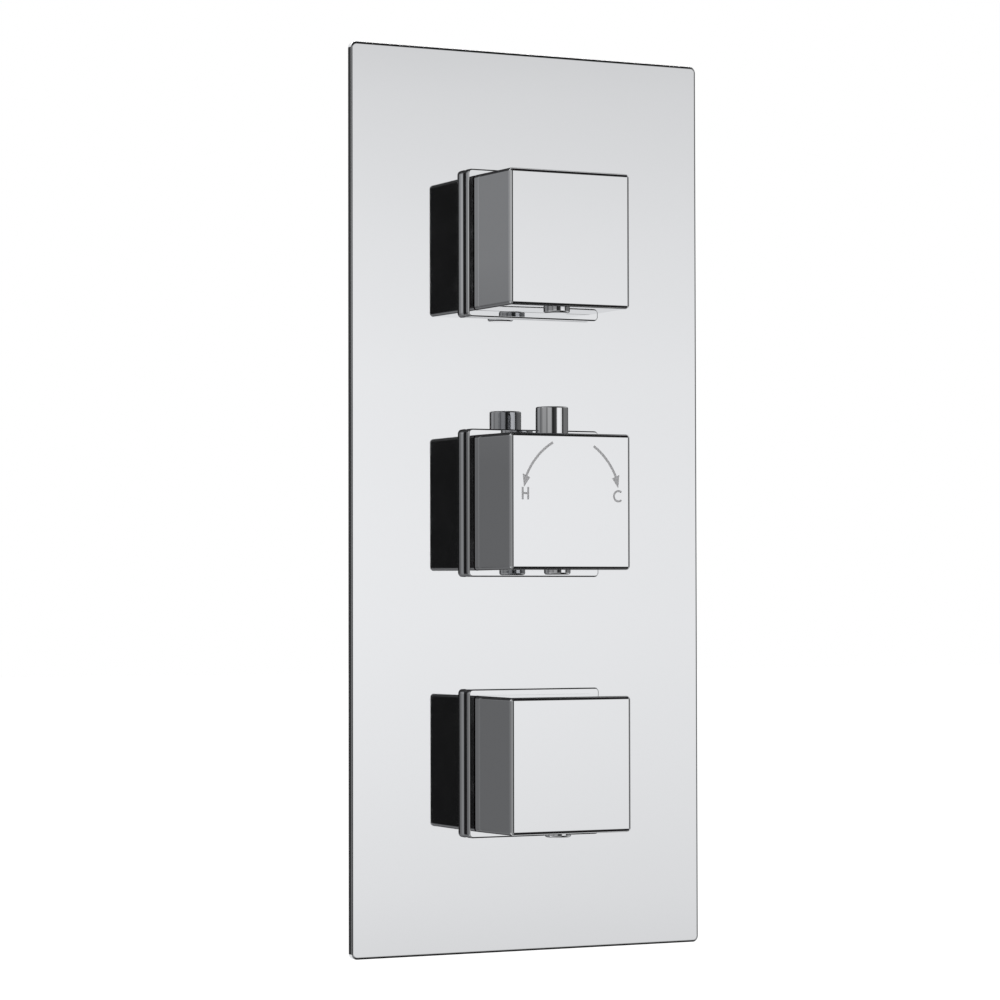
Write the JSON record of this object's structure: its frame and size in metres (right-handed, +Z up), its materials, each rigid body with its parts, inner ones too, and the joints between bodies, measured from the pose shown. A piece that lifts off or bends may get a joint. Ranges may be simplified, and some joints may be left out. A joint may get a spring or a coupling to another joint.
{
  "type": "thermostatic shower valve",
  "caption": "Concealed thermostatic shower valve: tall mirror plate, cube handles with a push-button temperature stop, and a brass in-wall body with threaded inlets and outlets.",
  "frame": {"origin": "on the middle handle's axis, in the plane of the finished wall", "axes": "+X to the right as seen from the front, +Y into the wall, +Z up along the column of handles"},
  "size_m": [0.135, 0.1215, 0.31],
  "materials": {
    "chrome": "mirror",
    "cast_brass": "as cast, machined at the faces",
    "turned_brass": "turned",
    "galvanised_steel": "zinc coated",
    "stainless_steel": "bright",
    "disc_ceramic": "lapped",
    "seal_rubber": "matt",
    "gasket_foam": "closed-cell foam",
    "grey_plastic": "moulded",
    "orange_plastic": "moulded",
    "copper": "drawn copper"
  },
  "bodies": {
    "valve": {"face_plate": "chrome", "plate_gasket": "gasket_foam", "plate_ring_nuts": "turned_brass", "valve_body": "cast_brass", "manifold_plugs": "turned_brass", "mounting_bracket": "galvanised_steel", "bracket_screws": "galvanised_steel", "thermo_cartridge_body": "turned_brass", "thermo_end_ring": "turned_brass", "temperature_stop_ring": "orange_plastic", "check_valve_hot": "grey_plastic", "check_valve_cold": "grey_plastic", "collar_upper": "chrome", "collar_middle": "chrome", "collar_lower": "chrome", "flow_bonnet_upper": "turned_brass", "flow_fixed_disc_upper": "disc_ceramic", "flow_seat_seal_upper": "seal_rubber", "flow_bonnet_lower": "turned_brass", "flow_fixed_disc_lower": "disc_ceramic", "flow_seat_seal_lower": "seal_rubber"},
    "flow_knob_upper": {"flow_handle_upper": "chrome", "grub_screw_upper": "stainless_steel", "screw_cap_upper": "chrome", "flow_spindle_upper": "turned_brass", "flow_moving_disc_upper": "disc_ceramic"},
    "flow_knob_lower": {"flow_handle_lower": "chrome", "grub_screw_lower": "stainless_steel", "screw_cap_lower": "chrome", "flow_spindle_lower": "turned_brass", "flow_moving_disc_lower": "disc_ceramic"},
    "temperature_knob": {"temperature_handle": "chrome", "grub_screw_middle": "stainless_steel", "screw_cap_middle": "chrome", "thermo_spindle": "turned_brass", "catch_spring": "stainless_steel"},
    "override": {"override_button": "chrome"},
    "shuttle": {"thermo_shuttle": "grey_plastic", "wax_element": "copper", "regulating_plunger": "grey_plastic", "shuttle_spring": "stainless_steel"}
  },
  "joints": [
    {"name": "flow_upper_turn", "type": "hinge", "parent": "valve", "child": "flow_knob_upper", "pos_m": [0, 0, 0.0891], "axis": [0, -1, 0], "range_deg": [0, 90]},
    {"name": "flow_lower_turn", "type": "hinge", "parent": "valve", "child": "flow_knob_lower", "pos_m": [0, 0, -0.0891], "axis": [0, -1, 0], "range_deg": [0, 90]},
    {"name": "temperature_turn", "type": "hinge", "parent": "valve", "child": "temperature_knob", "pos_m": [0, 0, 0], "axis": [0, -1, 0], "range_deg": [-180, 45]},
    {"name": "override_press", "type": "slide", "parent": "temperature_knob", "child": "override", "axis": [0, 0, -1], "range_m": [0, 0.003], "stiffness_N_per_m": 600, "springref_m": -0.003, "deforming": ["catch_spring"]},
    {"name": "shuttle_travel", "type": "slide", "parent": "valve", "child": "shuttle", "axis": [0, 1, 0], "range_m": [-0.0002, 0.0008], "deforming": ["shuttle_spring"]}
  ],
  "couplings": [
    {"joint": "shuttle_travel", "follows": "temperature_turn", "m_per_rad": -0.00023873}
  ]
}
